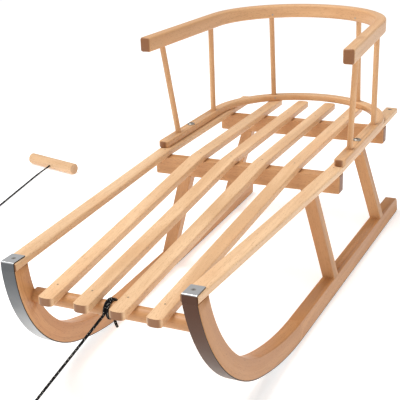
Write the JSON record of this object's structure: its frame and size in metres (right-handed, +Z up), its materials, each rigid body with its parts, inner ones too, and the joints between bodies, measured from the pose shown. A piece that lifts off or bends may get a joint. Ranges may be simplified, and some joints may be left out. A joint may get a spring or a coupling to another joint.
{
  "type": "toboggan",
  "caption": "Slatted wooden toboggan with bent-up runners on steel strips, splayed legs, a removable curved backrest on spindles and a pull rope with a wooden handle.",
  "frame": {"origin": "on the floor under the middle of the sled's box, rope and handle left out", "axes": "+Y from the bent-up front to the backrest at the rear, +X to the right seen from the front, +Z up"},
  "size_m": [0.9332, 1.0039, 0.422],
  "materials": {
    "runner_wood": "lacquered beech",
    "slat_wood": "lacquered beech",
    "frame_wood": "lacquered beech",
    "backrest_wood": "steam-bent lacquered beech",
    "spindle_wood": "turned lacquered beech",
    "shoe_steel": "zinc-plated strip",
    "screw_steel": "zinc-plated",
    "bolt_steel": "bright zinc plate",
    "black_rope": "braided polyester, black with pale flecks",
    "handle_wood": "lacquered beech"
  },
  "bodies": {
    "sled": {"left_runner": "runner_wood", "right_runner": "runner_wood", "left_runner_shoe": "shoe_steel", "right_runner_shoe": "shoe_steel", "shoe_screws": "screw_steel", "left_outer_slat": "slat_wood", "right_outer_slat": "slat_wood", "inner_slat_1": "slat_wood", "inner_slat_2": "slat_wood", "inner_slat_3": "slat_wood", "inner_slat_4": "slat_wood", "front_crossbar": "frame_wood", "front_bearer": "frame_wood", "rear_bearer": "frame_wood", "front_left_leg": "frame_wood", "front_right_leg": "frame_wood", "rear_left_leg": "frame_wood", "rear_right_leg": "frame_wood", "slat_screws": "screw_steel", "slat_nails": "screw_steel", "left_t_nut": "bolt_steel", "right_t_nut": "bolt_steel", "rope_lashing": "black_rope", "pull_rope": "black_rope", "pull_handle": "handle_wood", "rope_end_knot": "black_rope"},
    "backrest": {"backrest_lower_rail": "backrest_wood", "backrest_top_rail": "backrest_wood", "spindle_brads": "screw_steel", "left_front_spindle": "spindle_wood", "left_middle_spindle": "spindle_wood", "left_back_spindle": "spindle_wood", "right_front_spindle": "spindle_wood", "right_middle_spindle": "spindle_wood", "right_back_spindle": "spindle_wood"},
    "left_bolt": {"left_backrest_bolt": "bolt_steel"},
    "right_bolt": {"right_backrest_bolt": "bolt_steel"}
  },
  "joints": [
    {"name": "backrest_lift", "type": "slide", "parent": "sled", "child": "backrest", "axis": [0, 0, 1], "range_m": [0, 0.1]},
    {"name": "left_bolt_turn", "type": "hinge", "parent": "backrest", "child": "left_bolt", "pos_m": [-0.1585, 0.16375, 0.236], "axis": [0, 0, 1], "continuous": true},
    {"name": "right_bolt_turn", "type": "hinge", "parent": "backrest", "child": "right_bolt", "pos_m": [0.1585, 0.16375, 0.236], "axis": [0, 0, 1], "continuous": true}
  ]
}
